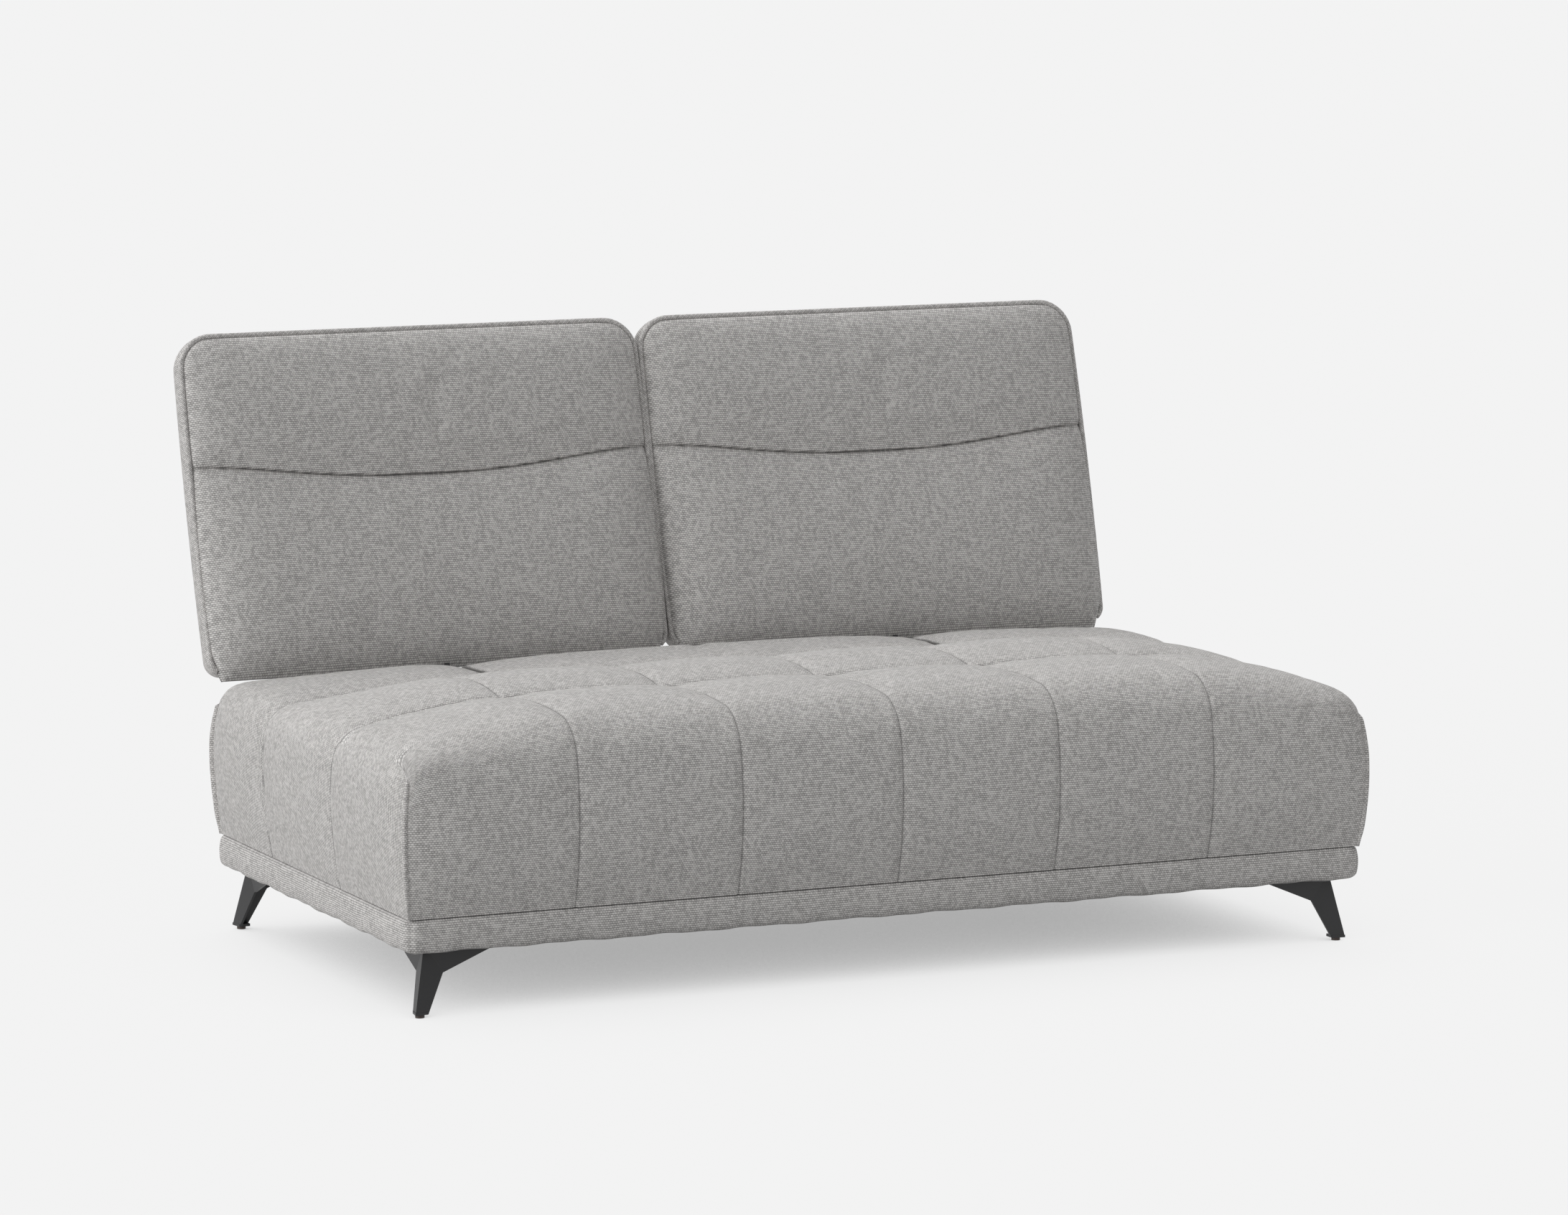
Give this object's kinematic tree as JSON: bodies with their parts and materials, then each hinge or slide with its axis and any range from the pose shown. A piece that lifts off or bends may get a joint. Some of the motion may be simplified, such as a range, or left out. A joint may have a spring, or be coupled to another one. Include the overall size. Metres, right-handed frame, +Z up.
{
  "type": "armless sofa",
  "caption": "Armless sofa: tufted block seat on folded metal corner legs, with separate padded backrests that slide fore and aft on arms through slits in the seat.",
  "frame": {"origin": "on the floor under the middle of the sofa's overall box", "axes": "+X to the right as seen from the front, +Y to the back, +Z up"},
  "size_m": [1.641, 1.0961, 0.9321],
  "materials": {
    "upholstery": "woven grey melange cloth with a fine crosswise rib",
    "piping": "the same cloth over a thin cord",
    "plywood": "bare birch plywood and softwood blocks",
    "foam": null,
    "webbing": "elastic webbing straps",
    "lining": "black non-woven lining",
    "zinc_steel": "zinc-plated steel",
    "black_metal": "satin black powder coat",
    "black_steel": "black painted steel",
    "glide_plastic": "dark plastic",
    "nylon": "natural nylon"
  },
  "bodies": {
    "seat_base": {"base_band_front": "upholstery", "base_band_left": "upholstery", "base_band_rear": "upholstery", "base_band_right": "upholstery", "corner_block_front_left": "plywood", "corner_block_front_right": "plywood", "corner_block_rear_left": "plywood", "corner_block_rear_right": "plywood", "dust_cover": "lining", "frame_panel_front": "plywood", "frame_panel_left": "plywood", "frame_panel_rear": "plywood", "frame_panel_right": "plywood", "glide_front_left": "glide_plastic", "glide_front_right": "glide_plastic", "glide_rear_left": "glide_plastic", "glide_rear_right": "glide_plastic", "leg_front_left": "black_metal", "leg_front_right": "black_metal", "leg_rear_left": "black_metal", "leg_rear_right": "black_metal", "leg_screws": "zinc_steel", "partition_left_inner": "plywood", "partition_left_outer": "plywood", "partition_right_inner": "plywood", "partition_right_outer": "plywood", "rail_left_inner": "zinc_steel", "rail_left_outer": "zinc_steel", "rail_right_inner": "zinc_steel", "rail_right_outer": "zinc_steel", "rail_screws": "zinc_steel", "seat_cover": "upholstery", "seat_foam": "foam", "webbing_cross": "webbing", "webbing_long": "webbing"},
    "backrest_left": {"back_board_left": "plywood", "back_border_left": "upholstery", "back_foam_left": "foam", "back_piping_left": "piping", "back_rear_cover_left": "upholstery", "carriage_left": "black_steel", "head_cushion_left": "upholstery", "lumbar_cushion_left": "upholstery", "mounting_plate_left": "black_steel", "plate_screws_left": "zinc_steel", "runners_left": "nylon", "support_arm_left": "black_steel"},
    "backrest_right": {"back_board_right": "plywood", "back_border_right": "upholstery", "back_foam_right": "foam", "back_piping_right": "piping", "back_rear_cover_right": "upholstery", "carriage_right": "black_steel", "head_cushion_right": "upholstery", "lumbar_cushion_right": "upholstery", "mounting_plate_right": "black_steel", "plate_screws_right": "zinc_steel", "runners_right": "nylon", "support_arm_right": "black_steel"}
  },
  "joints": [
    {"name": "backrest_left_slide", "type": "slide", "parent": "seat_base", "child": "backrest_left", "axis": [0, -0.9877, 0.1564], "range_m": [0, 0.2]},
    {"name": "backrest_right_slide", "type": "slide", "parent": "seat_base", "child": "backrest_right", "axis": [0, -0.9877, 0.1564], "range_m": [0, 0.2]}
  ]
}
